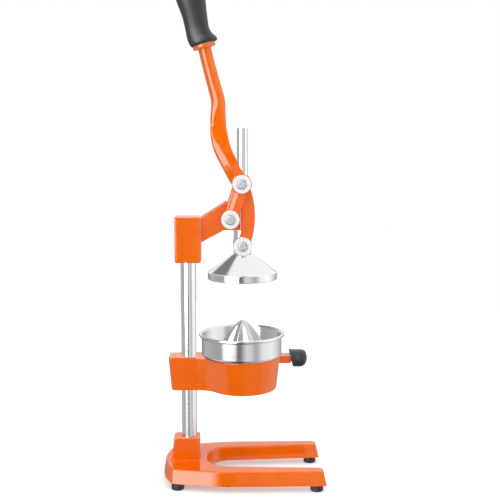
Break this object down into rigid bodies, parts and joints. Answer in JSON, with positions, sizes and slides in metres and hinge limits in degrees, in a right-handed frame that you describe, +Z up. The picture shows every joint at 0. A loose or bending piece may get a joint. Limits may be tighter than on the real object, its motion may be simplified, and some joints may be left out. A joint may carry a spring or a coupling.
{
  "type": "lever citrus juice press",
  "caption": "Free-standing hand juice press: forked base, steel post, ring bracket with bowl and reamer, and a long lever that drives a bell down through curved links.",
  "frame": {"origin": "on the bench, under the middle of the base's outline", "axes": "+Z up along the post, +X towards the open front of the base where the lever swings down, +Y to the far side"},
  "size_m": [0.2112, 0.124, 0.6842],
  "materials": {
    "orange_enamel": "gloss powder coat on cast metal",
    "polished_steel": "polished",
    "brushed_steel": "fine brushed",
    "zinc_steel": "zinc plated",
    "white_nylon": "smooth moulded",
    "black_rubber": "matt",
    "grey_grip": "satin moulded",
    "bronze": "turned"
  },
  "bodies": {
    "frame": {"base_casting": "orange_enamel", "foot_front_near": "black_rubber", "foot_front_far": "black_rubber", "foot_rear_near": "black_rubber", "foot_rear_far": "black_rubber", "foot_screw_front_near": "zinc_steel", "foot_screw_front_far": "zinc_steel", "foot_screw_rear_near": "zinc_steel", "foot_screw_rear_far": "zinc_steel", "post": "polished_steel", "post_washer": "zinc_steel", "post_screw": "zinc_steel", "bracket_casting": "orange_enamel", "bracket_set_screw": "zinc_steel", "bracket_grip": "grey_grip", "head_casting": "orange_enamel", "head_set_screw": "zinc_steel", "guide_bush_lower": "bronze", "guide_bush_upper": "bronze", "lever_pin": "brushed_steel", "lever_disc_near": "white_nylon", "lever_disc_far": "white_nylon", "lever_screw_near": "zinc_steel", "lever_screw_far": "zinc_steel", "juice_bowl": "polished_steel", "juice_funnel": "polished_steel", "strainer_plate": "brushed_steel", "reamer_cone": "brushed_steel"},
    "lever": {"lever_casting": "orange_enamel", "lever_grip": "grey_grip", "upper_disc_near": "white_nylon", "upper_disc_far": "white_nylon", "upper_screw_near": "zinc_steel", "upper_screw_far": "zinc_steel"},
    "press": {"press_rod": "polished_steel", "press_collar": "polished_steel", "collar_set_screw": "zinc_steel", "press_bell": "polished_steel", "bell_washer": "zinc_steel", "bell_screw": "zinc_steel", "collar_sleeve_near": "bronze", "collar_sleeve_far": "bronze", "lower_disc_near": "white_nylon", "lower_disc_far": "white_nylon", "lower_screw_near": "zinc_steel", "lower_screw_far": "zinc_steel"},
    "links": {"link_near": "orange_enamel", "link_far": "orange_enamel", "link_bush_near": "bronze", "link_bush_far": "bronze"}
  },
  "joints": [
    {"name": "lever_swing", "type": "hinge", "parent": "frame", "child": "lever", "pos_m": [-0.0167, 0, 0.3479], "axis": [0, 1, 0], "range_deg": [0, 110]},
    {"name": "press_slide", "type": "slide", "parent": "frame", "child": "press", "axis": [0, 0, -1], "range_m": [0, 0.07075]},
    {"name": "link_swing", "type": "hinge", "parent": "press", "child": "links", "pos_m": [-0.001, 0, 0.3131], "axis": [0, 1, 0], "range_deg": [0, 16.5]}
  ],
  "couplings": [
    {"joint": "press_slide", "follows": "lever_swing", "m_per_rad": 0.036842},
    {"joint": "link_swing", "follows": "lever_swing", "ratio": 0.1493}
  ]
}
